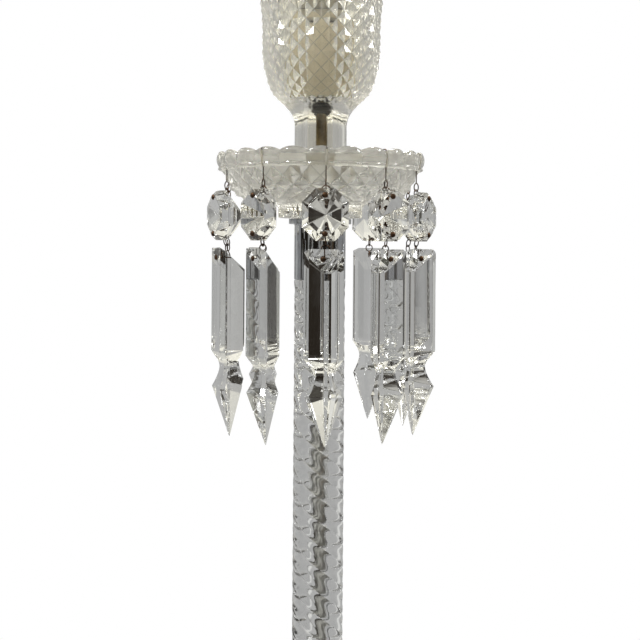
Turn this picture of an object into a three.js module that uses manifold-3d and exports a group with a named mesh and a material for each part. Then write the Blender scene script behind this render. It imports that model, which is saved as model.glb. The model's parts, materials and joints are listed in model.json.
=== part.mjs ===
// Crystal torch table lamp: a twisted column on a domed foot carries a scalloped drip pan
// with ten hanging prisms, and a hurricane shade over a candle-style lamp holder.
// Millimetres, +Z up, origin on the surface that the lamp stands on, under the column's axis.

import * as THREE from 'three';
import { mergeVertices } from 'three/addons/utils/BufferGeometryUtils.js';
import Module from 'manifold-3d';

const wasm = await Module();
wasm.setup();

// Driving dimensions of the whole lamp
const columnDiameter = 41;
const columnLength = 304;
const panDiameter = 166;
const footDiameter = 190;
const footHeight = 56;
const shadeHeight = 236;
const tubeDiameter = 9.8;
const strandCount = 10;
const strandRimInset = 5.4;
const firstStrandAngle = 3;

// Clearances
const seatGap = 0.3;
const boreGap = 0.4;
const cutOverrun = 1;
const mergeTolerance = 1e-4;

// Sides of the plain round pieces
const wideRingSides = 16;
const narrowRingSides = 12;
const ferruleSides = 18;
const padSides = 28;
const nutSides = 6;

// Threaded tube through the whole lamp
const tubeRadius = tubeDiameter / 2;
const tubeBoreRadius = 3.2;
const tubeFootInset = 8;
const tubeHolderReach = 11;
const clearBoreRadius = tubeRadius + boreGap;

// Felt pad
const padThickness = 2;
const padEdgeInset = 4;

// Foot
const footRibs = 12;
const footEdgeHeight = 7;
const footEdgeRound = 3;
const footTopRadius = 25.4;
const footRibDepthShare = 0.045;
const footSwirl = 50;
const footStepsPerRib = 3;
const footDomeShares = [[0.2, 0.9], [0.3, 0.74], [0.44, 0.54], [0.62, 0.37], [0.84, 0.285]];
const footRecessRadius = 24;
const footRecessHeight = 16;

// Cord bushing in the foot's rear
const bushingRadius = 4.5;
const bushingBoreRadius = 3;
const bushingFlangeRadius = 6.5;
const bushingFlangeThickness = 1.5;
const bushingLength = 9;
const bushingInset = 4;
const bushingSides = 10;
const cordHoleHeight = 12.4;

// Washer and nut in the foot's recess
const baseWasherRadius = 13;
const baseWasherThickness = 1.6;
const baseNutRadius = 9;
const baseNutHeight = 5;

// Ferrules above and below the column
const ferruleWall = 1.8;
const ferruleLipWidth = 4.5;
const ferruleLipThickness = 2;
const flangeRadius = 25.4;
const flangeThickness = 4.4;
const upperFerruleHeight = 48.6;
const lowerCollarHeight = 20;
const footGasketThickness = 1;
const footGasketRadius = 23;

// Column
const columnRibs = 5;
const columnPitch = 92.4;
const columnRibDepth = 1.2;
const columnPlainEnd = 3;
const columnRowHeight = 10;
const stepsPerRib = 4;
const columnBoreRadius = 6.4;
const ribProfileShares = [1, 0.28, 0, 0.28];

// Drip pan
const panScallops = 24;
const panScallopDepth = 2.2;
const panRimDrop = 2.4;
const panCollarRadius = 33.5;
const panCollarHeight = 10.9;
const panHeight = 51.6;
const panRimThickness = 14.6;
const panFloorThickness = 18.6;
const panSeatRadius = 28;
const panBowlShares = [[0.333, 0.03], [0.566, 0.123], [0.717, 0.295], [0.818, 0.563], [0.889, 0.85]];
const panDishShares = [[0.84, 0.9], [0.76, 0.55], [0.62, 0.12]];
const panRimShares = [[0.09, 0.125], [0, 0.5], [0.125, 0.875], [0.4, 1], [0.65, 0.8]];
const hookHoleRadius = 1;
const hookHoleSides = 5;

// Shade
const shadePanels = 24;
const shadeWall = 5.5;
const shadeBoreRadius = 9.8;
const shadeNeckRadius = 21.3;
const shadeHeelRadius = 24;
const shadeHeelHeight = 12;
const shadeNeckHeight = 54;
const shadeBowlHeight = 52;
const shadeBellyHeight = 24;
const shadeBellyRadius = 47.4;
const shadeMouthRadius = 64;
const shadeFloorHeight = 73;
const shadeScallopDepth = 4;
const shadeScallops = 12;
const shadeBowlShares = [
  [0, 0], [0.12, 0.06], [0.23, 0.19], [0.31, 0.33], [0.385, 0.49],
  [0.46, 0.64], [0.54, 0.735], [0.69, 0.84], [0.85, 0.93], [1, 0.98],
];
const shadeFlareShares = [[0, 0], [0.25, 0.12], [0.6, 0.49], [1, 1]];
const gasketThickness = 1.5;
const gasketInnerRadius = 12;

// Hardware inside the shade
const neckNutRadius = 8.25;
const neckNutHeight = 4.8;
const neckCollarRadius = 6.6;
const neckCollarHeight = 3.2;
const clampDiscRadius = 22;
const clampDiscThickness = 1.6;
const holderRadius = 11.5;
const holderHeight = 65;
const holderSocketRadius = 7.6;
const holderSocketDepth = 32;
const sleeveBottomRadius = 20;
const sleeveTopRadius = 15.5;
const sleeveWall = 1.8;
const sleeveHeight = 62;
const capRadius = 7;
const capContactRadius = 4;
const capContactHeight = 3;
const bulbHeight = 80;
const bulbRadius = 17.5;
const bulbShares = [[0, 0.46], [0.12, 0.5], [0.27, 0.76], [0.42, 1], [0.6, 0.94], [0.82, 0.52]];

// Wire of the hooks, pins and eyes
const wireRadius = 0.45;
const wireSides = 4;
const linkGap = 0.3;
const pinHeadRadius = 2.15;
const pinHeadThickness = 1.1;
const pinHeadSides = 6;
const ringWidth = 6.2;
const ringHeight = 5.6;
const eyeWidth = 3.3;
const eyeHeight = 6.2;
const eyeSteps = 8;
const hookDrop = 14.6;
const hookTail = 3.4;
const linkOffset = 2 * wireRadius + linkGap;

// Bead
const beadWidth = 34;
const beadHeight = 38.4;
const beadCorner = 10;
const beadTableInset = 5;
const beadCrown = 5.5;
const beadGirdle = 2;
const beadPavilion = 18.5;
const beadSet = 4;
const beadTopDrop = 2.1;
const beadPinInset = 5.2;
const beadLowerPinInset = 5.1;
const beadTurns = [-6, -14, -18, -5, 12, 0, 6, -5, 7, -8];

// Pendant
const pendantWidth = 30;
const pendantDepth = 22.5;
const pendantSideBevel = 4.5;
const pendantBevelDepth = 3;
const pendantRidge = 2;
const pendantSlope = 18;
const pendantBar = 80;
const pendantLength = 147;
const pendantNeck = 92.4;
const pendantHead = 107.5;
const pendantHoleDepth = 7.4;
const pendantHoleRadius = 1.1;
const pendantHoleSides = 6;
const pendantCentreShare = 0.54;
const pendantTopDrop = 2.8;
const pendantNotchShares = [[0.28, 0.72], [0.62, 0.59], [1, 0.55]];
const pendantHeadShares = [[0.36, 0.64], [0.68, 0.8], [1, 0.9]];
const pendantTurns = [-11, -13, -50, -10, 33, 0, 5, 0, 1, -25];
const linkSpan = 43.5;

// Stack of heights, from the table up
const footBottom = padThickness + seatGap;
const footTop = footBottom + footHeight;
const footRecessTop = footBottom + footRecessHeight;
const footGasketBottom = footTop + seatGap;
const lowerCollarBottom = footGasketBottom + footGasketThickness + seatGap;
const columnBottom = lowerCollarBottom + lowerCollarHeight + seatGap;
const columnTop = columnBottom + columnLength;
const upperFerruleBottom = columnTop + seatGap;
const panBottom = upperFerruleBottom + upperFerruleHeight + seatGap;
const panFloor = panBottom + panFloorThickness;
const panTop = panBottom + panHeight;
const gasketBottom = panFloor + seatGap;
const shadeBottom = gasketBottom + gasketThickness + seatGap;
const shadeFloor = shadeBottom + shadeFloorHeight;
const clampDiscBottom = shadeFloor + seatGap;
const neckNutTop = clampDiscBottom - seatGap;
const holderBottom = clampDiscBottom + clampDiscThickness + seatGap;
const holderTop = holderBottom + holderHeight;
const tubeTop = holderBottom + tubeHolderReach;
const upperLinkHeight = panTop - panRimThickness - hookDrop;
const lowerLinkHeight = upperLinkHeight - linkSpan;

const columnRadius = columnDiameter / 2;
const panRadius = panDiameter / 2;
const strandCircleRadius = panRadius - strandRimInset;
const footRadius = footDiameter / 2;
const bushingSeat = footRadius - bushingInset;
const degree = Math.PI / 180;
const fullTurn = 2 * Math.PI;

// Materials
const crystalMaterial = new THREE.MeshStandardMaterial({ color: 0xe9e9e4, roughness: 0.05, metalness: 0 });
const nickelMaterial = new THREE.MeshStandardMaterial({ color: 0xb4b7bc, roughness: 0.2, metalness: 1 });
const bronzeMaterial = new THREE.MeshStandardMaterial({ color: 0x6b5a42, roughness: 0.45, metalness: 0.9 });
const wireMaterial = new THREE.MeshStandardMaterial({ color: 0x54402f, roughness: 0.4, metalness: 0.9 });
const darkMaterial = new THREE.MeshStandardMaterial({ color: 0x2a211a, roughness: 0.5, metalness: 0.6 });
const sleeveMaterial = new THREE.MeshStandardMaterial({ color: 0xb9ac96, roughness: 0.6, metalness: 0 });
const bulbMaterial = new THREE.MeshStandardMaterial({ color: 0xd8cfba, roughness: 0.35, metalness: 0 });
const holderMaterial = new THREE.MeshStandardMaterial({ color: 0x1d1c1b, roughness: 0.5, metalness: 0 });
const feltMaterial = new THREE.MeshStandardMaterial({ color: 0x3a3f3a, roughness: 0.95, metalness: 0 });
const gasketMaterial = new THREE.MeshStandardMaterial({ color: 0xd9d9d4, roughness: 0.5, metalness: 0 });

const lamp = new THREE.Group();

// Strand pieces are made at the strand's own link, with -Y away from the column.
const acrossX = new THREE.Vector3(1, 0, 0);

function at(y, z) {
  return new THREE.Vector3(0, y, z);
}

// Drops repeated points and faces without area, and turns the faces outwards.
function tidySolid(source) {
  const geometry = source.clone();
  geometry.deleteAttribute('normal');
  geometry.deleteAttribute('uv');
  const merged = mergeVertices(geometry, mergeTolerance);
  const place = merged.attributes.position;
  const index = merged.index.array;
  const kept = [];
  let volume = 0;
  const a = new THREE.Vector3();
  const b = new THREE.Vector3();
  const c = new THREE.Vector3();
  for (let i = 0; i < index.length; i += 3) {
    const [ia, ib, ic] = [index[i], index[i + 1], index[i + 2]];
    if (ia === ib || ib === ic || ia === ic) continue;
    a.fromBufferAttribute(place, ia);
    b.fromBufferAttribute(place, ib);
    c.fromBufferAttribute(place, ic);
    volume += a.dot(b.cross(c));
    kept.push(ia, ib, ic);
  }
  if (volume < 0) kept.reverse();
  merged.setIndex(kept);
  return merged;
}

function toManifold(geometry) {
  const solid = tidySolid(geometry);
  return new wasm.Manifold(new wasm.Mesh({
    numProp: 3,
    vertProperties: new Float32Array(solid.attributes.position.array),
    triVerts: new Uint32Array(solid.index.array),
  }));
}

function fromManifold(manifold) {
  const mesh = manifold.getMesh();
  const geometry = new THREE.BufferGeometry();
  geometry.setAttribute('position', new THREE.BufferAttribute(new Float32Array(mesh.vertProperties), 3));
  geometry.setIndex(new THREE.BufferAttribute(new Uint32Array(mesh.triVerts), 1));
  return tidySolid(geometry);
}

function join(...geometries) {
  return fromManifold(geometries.map(toManifold).reduce((whole, piece) => whole.add(piece)));
}

function cut(geometry, ...tools) {
  const start = toManifold(geometry);
  return fromManifold(tools.map(toManifold).reduce((whole, tool) => whole.subtract(tool), start));
}

// Turns an outline of [radius, height] points round the Z axis.
// reshape(radius, height, angle) may return a changed [radius, height, angle].
function revolve(outline, segments, reshape) {
  const points = outline.map(([radius, height]) => new THREE.Vector2(radius, height));
  const geometry = new THREE.LatheGeometry(points, segments);
  geometry.rotateX(Math.PI / 2);
  if (reshape) {
    const place = geometry.attributes.position;
    for (let i = 0; i < place.count; i += 1) {
      const radius = Math.hypot(place.getX(i), place.getY(i));
      const angle = Math.atan2(place.getY(i), place.getX(i));
      const [newRadius, newHeight, newAngle] = reshape(radius, place.getZ(i), angle);
      place.setXYZ(i, newRadius * Math.cos(newAngle), newRadius * Math.sin(newAngle), newHeight);
    }
  }
  return tidySolid(geometry);
}

// Ring of rectangular section, or of any outline that closes on itself.
function closedOutline(points) {
  return [...points, points[0]];
}

function ring(innerRadius, outerRadius, bottom, height, segments) {
  const top = bottom + height;
  return revolve(closedOutline([
    [innerRadius, bottom], [outerRadius, bottom], [outerRadius, top], [innerRadius, top],
  ]), segments);
}

// Rod along Y, from a low to a high Y, for cutting holes and making heads.
function rodAlongY(radius, low, high, sides) {
  const geometry = new THREE.CylinderGeometry(radius, radius, high - low, sides);
  geometry.translate(0, (low + high) / 2, 0);
  return geometry;
}

function rodAlongZ(radius, low, high, sides) {
  const geometry = new THREE.CylinderGeometry(radius, radius, high - low, sides);
  geometry.rotateX(Math.PI / 2);
  geometry.translate(0, 0, (low + high) / 2);
  return geometry;
}

// Open wire along straight runs in the YZ plane, mitred where it bends.
function wire(points) {
  const rows = points.map((point, i) => {
    const into = point.clone().sub(points[Math.max(i - 1, 0)]).normalize();
    const out = points[Math.min(i + 1, points.length - 1)].clone().sub(point).normalize();
    const along = into.clone().add(out).normalize();
    const stretch = 1 / Math.max(along.dot(into), along.dot(out));
    const side = new THREE.Vector3().crossVectors(acrossX, along).multiplyScalar(stretch);
    return Array.from({ length: wireSides }, (_, j) => {
      const angle = (j / wireSides) * fullTurn;
      return point.clone()
        .addScaledVector(acrossX, wireRadius * Math.cos(angle))
        .addScaledVector(side, wireRadius * Math.sin(angle));
    });
  });
  return loft(rows);
}

// Closed loop of wire. Its lowest and highest points are given, and across is the
// unit direction of its width.
function loop(low, high, width, across) {
  const middle = low.clone().add(high).multiplyScalar(0.5);
  const up = high.clone().sub(low).multiplyScalar(0.5);
  const side = across.clone().multiplyScalar(width / 2);
  const normal = new THREE.Vector3().crossVectors(side, up).normalize();
  const centres = [];
  for (let i = 0; i < eyeSteps; i += 1) {
    const angle = (i / eyeSteps) * fullTurn;
    centres.push(middle.clone().addScaledVector(side, Math.cos(angle)).addScaledVector(up, Math.sin(angle)));
  }
  const positions = [];
  centres.forEach((centre, i) => {
    const before = centres[(i + eyeSteps - 1) % eyeSteps];
    const after = centres[(i + 1) % eyeSteps];
    const along = after.clone().sub(before).normalize();
    const outward = new THREE.Vector3().crossVectors(along, normal);
    for (let j = 0; j < wireSides; j += 1) {
      const angle = (j / wireSides) * fullTurn;
      const point = centre.clone()
        .addScaledVector(outward, wireRadius * Math.cos(angle))
        .addScaledVector(normal, wireRadius * Math.sin(angle));
      positions.push(point.x, point.y, point.z);
    }
  });
  const faces = [];
  for (let i = 0; i < eyeSteps; i += 1) {
    const next = (i + 1) % eyeSteps;
    for (let j = 0; j < wireSides; j += 1) {
      const turn = (j + 1) % wireSides;
      const [a, b] = [i * wireSides + j, i * wireSides + turn];
      const [c, d] = [next * wireSides + j, next * wireSides + turn];
      faces.push(a, c, b, b, c, d);
    }
  }
  const geometry = new THREE.BufferGeometry();
  geometry.setAttribute('position', new THREE.Float32BufferAttribute(positions, 3));
  geometry.setIndex(faces);
  return tidySolid(geometry);
}

// Solid between rows of points. Every row has as many points, and a last row of one is a tip.
function loft(rows) {
  const count = rows[0].length;
  const positions = rows.flat().flatMap((point) => [point.x, point.y, point.z]);
  const faces = [];
  for (let i = 1; i < count - 1; i += 1) faces.push(0, i, i + 1);
  for (let row = 1; row < rows.length; row += 1) {
    const above = (row - 1) * count;
    const below = row * count;
    for (let i = 0; i < count; i += 1) {
      const next = (i + 1) % count;
      if (rows[row].length === 1) {
        faces.push(above + i, below, above + next);
      } else {
        faces.push(above + i, below + i, above + next, above + next, below + i, below + next);
      }
    }
  }
  const last = rows[rows.length - 1];
  if (last.length > 1) {
    const start = (rows.length - 1) * count;
    for (let i = 1; i < count - 1; i += 1) faces.push(start, start + i + 1, start + i);
  }
  const geometry = new THREE.BufferGeometry();
  geometry.setAttribute('position', new THREE.Float32BufferAttribute(positions, 3));
  geometry.setIndex(faces);
  return tidySolid(geometry);
}

function centroidY(geometry) {
  const place = geometry.attributes.position;
  const index = geometry.index.array;
  const corners = [new THREE.Vector3(), new THREE.Vector3(), new THREE.Vector3()];
  let volume = 0;
  let moment = 0;
  for (let i = 0; i < index.length; i += 3) {
    corners.forEach((corner, j) => corner.fromBufferAttribute(place, index[i + j]));
    const [a, b, c] = corners;
    const part = a.dot(b.clone().cross(c));
    volume += part;
    moment += (part * (a.y + b.y + c.y)) / 4;
  }
  return moment / volume;
}

function radiusAt(outline, height) {
  const above = outline.findIndex((point) => point[1] >= height);
  const [lowRadius, low] = outline[above - 1];
  const [highRadius, high] = outline[above];
  return lowRadius + ((highRadius - lowRadius) * (height - low)) / (high - low);
}

function smooth(value) {
  const share = Math.min(1, Math.max(0, value));
  return share * share * (3 - 2 * share);
}

function addMesh(name, geometry, material, parent = lamp) {
  const mesh = new THREE.Mesh(geometry, material);
  mesh.name = name;
  parent.add(mesh);
  return mesh;
}

// Foot: a dome with ribs that swirl out from the column to a scalloped edge.
function makeFoot() {
  const edgeTop = footBottom + footEdgeHeight;
  const domeHeight = footTop - edgeTop;
  const outline = closedOutline([
    [clearBoreRadius, footRecessTop],
    [footRecessRadius, footRecessTop],
    [footRecessRadius, footBottom],
    [footRadius - footEdgeRound, footBottom],
    [footRadius, footBottom + footEdgeRound],
    [footRadius, edgeTop],
    ...footDomeShares.map(([rise, share]) => [footRadius * share, edgeTop + domeHeight * rise]),
    [footTopRadius, footTop],
    [clearBoreRadius, footTop],
  ]);
  const ribZone = (footRadius - footTopRadius) / 2;
  const dome = revolve(outline, footRibs * footStepsPerRib, (radius, height, angle) => {
    const outside = height < footTop - seatGap && radius > footTopRadius;
    if (!outside) return [radius, height, angle];
    const rise = Math.max(0, height - edgeTop) / domeHeight;
    const turned = angle + footSwirl * degree * rise;
    const groove = (1 - Math.cos(angle * footRibs)) / 2;
    const depth = radius * footRibDepthShare * smooth((radius - footTopRadius) / ribZone);
    return [radius - depth * groove, height, turned];
  });
  const holeRadius = bushingRadius + boreGap;
  const seatRadius = bushingFlangeRadius + boreGap;
  const hole = revolve([
    [0, 0], [holeRadius, 0], [holeRadius, bushingSeat], [seatRadius, bushingSeat],
    [seatRadius, footRadius + cutOverrun], [0, footRadius + cutOverrun],
  ], bushingSides);
  hole.rotateZ(Math.PI / bushingSides);
  hole.rotateX(-Math.PI / 2);
  hole.translate(0, 0, cordHoleHeight);
  return cut(dome, hole);
}

function makeBushing() {
  const flangeFace = bushingSeat + seatGap;
  const outline = closedOutline([
    [bushingBoreRadius, flangeFace - bushingLength],
    [bushingRadius, flangeFace - bushingLength],
    [bushingRadius, flangeFace],
    [bushingFlangeRadius, flangeFace],
    [bushingFlangeRadius, flangeFace + bushingFlangeThickness],
    [bushingBoreRadius, flangeFace + bushingFlangeThickness],
  ]);
  const geometry = revolve(outline, bushingSides);
  geometry.rotateZ(Math.PI / bushingSides);
  geometry.rotateX(-Math.PI / 2);
  geometry.translate(0, 0, cordHoleHeight);
  return geometry;
}

// Ferrule: a spun tube with a flange that closes one end and a lip that bears on the column.
// Heights run from the lip's end up to the flange's face.
function ferruleOutline(height) {
  const lipInner = columnRadius - ferruleLipWidth;
  const wallInner = columnRadius - ferruleWall;
  const plate = height - flangeThickness;
  return closedOutline([
    [lipInner, 0],
    [columnRadius, 0],
    [columnRadius, plate],
    [flangeRadius, plate],
    [flangeRadius, height],
    [clearBoreRadius, height],
    [clearBoreRadius, plate],
    [wallInner, plate],
    [wallInner, ferruleLipThickness],
    [lipInner, ferruleLipThickness],
  ]);
}

// Column: ribs wind left-handed round a bore, and fade into a plain ring at each end.
function makeColumn() {
  const rows = Math.round((columnLength - 2 * columnPlainEnd) / columnRowHeight);
  const rowHeight = (columnLength - 2 * columnPlainEnd) / rows;
  const outline = [[0, columnBottom], [columnRadius, columnBottom]];
  for (let row = 0; row <= rows; row += 1) {
    outline.push([columnRadius, columnBottom + columnPlainEnd + row * rowHeight]);
  }
  outline.push([columnRadius, columnTop], [0, columnTop]);
  const segments = columnRibs * stepsPerRib;
  const solid = revolve(outline, segments, (radius, height, angle) => {
    if (radius < columnRadius / 2) return [0, height, angle];
    const step = Math.round((angle / fullTurn) * segments + segments);
    const inside = Math.min(height - columnBottom, columnTop - height) > columnPlainEnd / 2;
    const depth = inside ? columnRibDepth * ribProfileShares[step % stepsPerRib] : 0;
    const turned = -angle - (fullTurn * (height - columnBottom)) / columnPitch;
    return [radius - depth, height, turned];
  });
  const [low, high] = [columnBottom - cutOverrun, columnTop + cutOverrun];
  const bore = rodAlongZ(columnBoreRadius, low, high, narrowRingSides);
  return cut(solid, bore);
}

// Drip pan: a thick dish on a short collar, with a scalloped rim and holes for the hooks.
function makePan() {
  const rimBottom = panTop - panRimThickness;
  const bowlBottom = panBottom + panCollarHeight;
  const outline = closedOutline([
    [clearBoreRadius, panBottom],
    [panCollarRadius, panBottom],
    [panCollarRadius, bowlBottom],
    ...panBowlShares.map(([share, rise]) => [
      panCollarRadius + (panRadius - panCollarRadius) * share,
      bowlBottom + (rimBottom - bowlBottom) * rise,
    ]),
    ...panRimShares.map(([inset, rise]) => [
      panRadius - panRimThickness * inset, rimBottom + panRimThickness * rise,
    ]),
    ...panDishShares.map(([share, rise]) => [panRadius * share, panFloor + (panTop - panFloor) * rise]),
    [panSeatRadius, panFloor],
    [clearBoreRadius, panFloor],
  ]);
  const rimZone = panRadius - strandCircleRadius;
  const pan = revolve(outline, panScallops * 2, (radius, height, angle) => {
    const weight = smooth((radius - strandCircleRadius + rimZone) / rimZone);
    const groove = (1 - Math.cos(angle * panScallops)) / 2;
    const lift = smooth((height - rimBottom) / panRimThickness);
    const drop = panRimDrop * weight * lift * groove;
    return [radius - panScallopDepth * weight * groove, height - drop, angle];
  });
  const holes = strandAngles().map((angle) => {
    const hole = rodAlongZ(hookHoleRadius, panBottom, panTop + cutOverrun, hookHoleSides);
    hole.translate(0, -strandCircleRadius, 0);
    hole.rotateZ(angle);
    return hole;
  });
  return cut(pan, ...holes);
}

function shadeOutline() {
  const bellyStart = shadeNeckHeight + shadeBowlHeight;
  const flareStart = bellyStart + shadeBellyHeight;
  const flareHeight = shadeHeight - flareStart;
  return [
    [shadeHeelRadius, 0],
    [shadeNeckRadius, shadeHeelHeight],
    ...shadeBowlShares.map(([rise, share]) => [
      shadeNeckRadius + (shadeBellyRadius - shadeNeckRadius) * share,
      shadeNeckHeight + shadeBowlHeight * rise,
    ]),
    ...shadeFlareShares.map(([rise, share]) => [
      shadeBellyRadius + (shadeMouthRadius - shadeBellyRadius) * share,
      flareStart + flareHeight * rise,
    ]),
  ];
}

// Shade: thick glass, a bored neck, a floor for the clamping disc and a scalloped mouth.
function makeShade() {
  const outer = shadeOutline();
  const inner = outer.filter((point) => point[1] > shadeFloorHeight)
    .reverse()
    .filter((point, i) => i % 2 === 0)
    .map(([radius, height]) => [radius - shadeWall, height]);
  const floorRadius = radiusAt(outer, shadeFloorHeight) - shadeWall;
  const outline = closedOutline([
    [shadeBoreRadius, 0],
    ...outer,
    ...inner,
    [floorRadius, shadeFloorHeight],
    [shadeBoreRadius, shadeFloorHeight],
  ]);
  const scallopZone = shadeHeight - 2 * shadeScallopDepth;
  const geometry = revolve(outline, shadePanels, (radius, height, angle) => {
    const groove = (1 - Math.cos(angle * shadeScallops)) / 2;
    const drop = height > scallopZone ? shadeScallopDepth * groove : 0;
    return [radius, height - drop, angle];
  });
  geometry.translate(0, 0, shadeBottom);
  return geometry;
}

function makeNeckNut() {
  const collarBottom = neckNutTop - neckNutHeight - neckCollarHeight;
  const discBottom = neckNutTop - neckNutHeight;
  return revolve(closedOutline([
    [clearBoreRadius, collarBottom],
    [neckCollarRadius, collarBottom],
    [neckCollarRadius, discBottom],
    [neckNutRadius, discBottom],
    [neckNutRadius, neckNutTop],
    [clearBoreRadius, neckNutTop],
  ]), narrowRingSides);
}

function makeHexNut(radius, bottom, height) {
  const circle = (size, sides) => new THREE.EllipseCurve(0, 0, size, size).getPoints(sides).slice(1);
  const shape = new THREE.Shape(circle(radius, nutSides));
  shape.holes.push(new THREE.Path(circle(clearBoreRadius, narrowRingSides)));
  const geometry = new THREE.ExtrudeGeometry(shape, { depth: height, bevelEnabled: false });
  geometry.translate(0, 0, bottom);
  return tidySolid(geometry);
}

function makeHolder() {
  const ledge = holderTop - holderSocketDepth;
  return revolve(closedOutline([
    [clearBoreRadius, holderBottom],
    [holderRadius, holderBottom],
    [holderRadius, holderTop],
    [holderSocketRadius, holderTop],
    [holderSocketRadius, ledge],
    [clearBoreRadius, ledge],
  ]), narrowRingSides);
}

function makeSleeve() {
  const sleeveTop = holderBottom + sleeveHeight;
  return revolve(closedOutline([
    [sleeveBottomRadius - sleeveWall, holderBottom],
    [sleeveBottomRadius, holderBottom],
    [sleeveTopRadius, sleeveTop],
    [sleeveTopRadius - sleeveWall, sleeveTop],
  ]), wideRingSides);
}

function makeBulbCap() {
  const ledge = holderTop - holderSocketDepth + seatGap;
  return revolve([
    [0, ledge],
    [capContactRadius, ledge],
    [capRadius, ledge + capContactHeight],
    [capRadius, holderTop],
    [0, holderTop],
  ], narrowRingSides);
}

function makeBulb() {
  const bottom = holderTop + seatGap;
  return revolve([
    [0, bottom],
    ...bulbShares.map(([rise, share]) => [bulbRadius * share, bottom + bulbHeight * rise]),
    [0, bottom + bulbHeight],
  ], wideRingSides);
}

function strandAngles() {
  const first = firstStrandAngle * degree;
  return Array.from({ length: strandCount }, (_, i) => first + (i / strandCount) * fullTurn);
}

// Rim hook: a tail over the rim, a shank through its hole and an eye that carries the bead.
function makeHook() {
  const eyeLow = -linkOffset;
  const eyeHigh = eyeLow + eyeHeight;
  const tailHeight = panTop - upperLinkHeight + seatGap + wireRadius;
  const shank = wire([at(0, eyeHigh - wireRadius), at(0, tailHeight), at(hookTail, tailHeight)]);
  return join(loop(at(0, eyeLow), at(0, eyeHigh), eyeWidth, at(1, 0)), shank);
}

// Octagon in the XZ plane with cut corners, at a depth y.
function octagon(halfWidth, halfHeight, corner, y, middle) {
  const inner = halfWidth - corner;
  const tall = halfHeight - corner;
  const corners = [
    [inner, halfHeight], [halfWidth, tall], [halfWidth, -tall], [inner, -halfHeight],
    [-inner, -halfHeight], [-halfWidth, -tall], [-halfWidth, tall], [-inner, halfHeight],
  ];
  return corners.map(([x, z]) => new THREE.Vector3(x, y, middle + z));
}

// Bead: an octagonal crystal with a flat table in front and a deep pointed back,
// joined with the two headed pins that are fixed in it.
function makeBead() {
  const middle = -beadTopDrop - beadHeight / 2;
  const halfWidth = beadWidth / 2;
  const halfHeight = beadHeight / 2;
  const tableCorner = beadCorner - beadTableInset / 2;
  const [tableWidth, tableHeight] = [halfWidth - beadTableInset, halfHeight - beadTableInset];
  const table = -beadSet - beadGirdle - beadCrown;
  const rows = [
    octagon(tableWidth, tableHeight, tableCorner, table, middle),
    octagon(halfWidth, halfHeight, beadCorner, -beadSet - beadGirdle, middle),
    octagon(halfWidth, halfHeight, beadCorner, -beadSet, middle),
    [at(beadPavilion - beadSet, middle)],
  ];
  const glass = loft(rows);
  const back = (inset) => (beadPavilion * inset) / halfHeight - beadSet;
  const pin = (high, link, side, across, width, height, inset) => {
    const hole = high - side * inset;
    const stand = back(inset) + 2 * wireRadius;
    const far = at(back(height - Math.abs(high - link)) + 2 * wireRadius, link - side * height);
    const path = [at(back(inset) - 2 * wireRadius, hole), at(stand, hole), far];
    const eye = loop(side > 0 ? far : at(0, link), side > 0 ? at(0, link) : far, width, across);
    return [wire(path), eye];
  };
  const top = -beadTopDrop;
  const bottom = top - beadHeight;
  const lowerLink = -linkSpan - linkOffset;
  const head = (z) => {
    const [front, rear] = [table - pinHeadThickness, table + pinHeadThickness];
    const geometry = rodAlongY(pinHeadRadius, front, rear, pinHeadSides);
    geometry.translate(0, 0, z);
    return geometry;
  };
  return join(
    glass,
    head(top - beadPinInset),
    head(bottom + beadLowerPinInset),
    ...pin(top, 0, 1, acrossX, ringWidth, ringHeight, beadPinInset),
    ...pin(bottom, lowerLink, -1, at(1, 0), eyeWidth, eyeHeight, beadLowerPinInset),
  );
}

// Pendant's section: a flat face outwards, bevelled sides and a narrow ridge inwards.
function pendantSection(face, scale, heightOf) {
  const halfFace = pendantWidth / 2 - pendantSideBevel;
  const ridgeY = face + pendantDepth;
  const centreY = face + pendantDepth * pendantCentreShare;
  const corners = [
    [halfFace, face], [pendantWidth / 2, face + pendantBevelDepth], [pendantRidge, ridgeY],
    [-pendantRidge, ridgeY], [-pendantWidth / 2, face + pendantBevelDepth], [-halfFace, face],
  ];
  return corners.map(([x, y]) => new THREE.Vector3(x * scale, centreY + (y - centreY) * scale, heightOf(y)));
}

function pendantGlass(face) {
  const top = -pendantTopDrop;
  const level = (depth) => () => top - depth;
  const slope = (y) => top - (pendantSlope * (y - face)) / pendantDepth;
  const rows = [
    pendantSection(face, 1, slope),
    pendantSection(face, 1, level(pendantBar)),
    ...pendantNotchShares.map(([share, scale]) => pendantSection(
      face, scale, level(pendantBar + (pendantNeck - pendantBar) * share),
    )),
    ...pendantHeadShares.map(([share, scale]) => pendantSection(
      face, scale, level(pendantNeck + (pendantHead - pendantNeck) * share),
    )),
    [at(face + pendantDepth * pendantCentreShare, top - pendantLength)],
  ];
  return loft(rows);
}

// The face's distance from the link is set so that the crystal hangs plumb.
const pendantFace = -centroidY(pendantGlass(0));
const pendantHoleHeight = -pendantTopDrop - pendantHoleDepth;

function makePendant() {
  const hole = rodAlongY(pendantHoleRadius, pendantFace - cutOverrun, -pendantFace, pendantHoleSides);
  hole.translate(0, 0, pendantHoleHeight);
  return cut(pendantGlass(pendantFace), hole);
}

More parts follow.
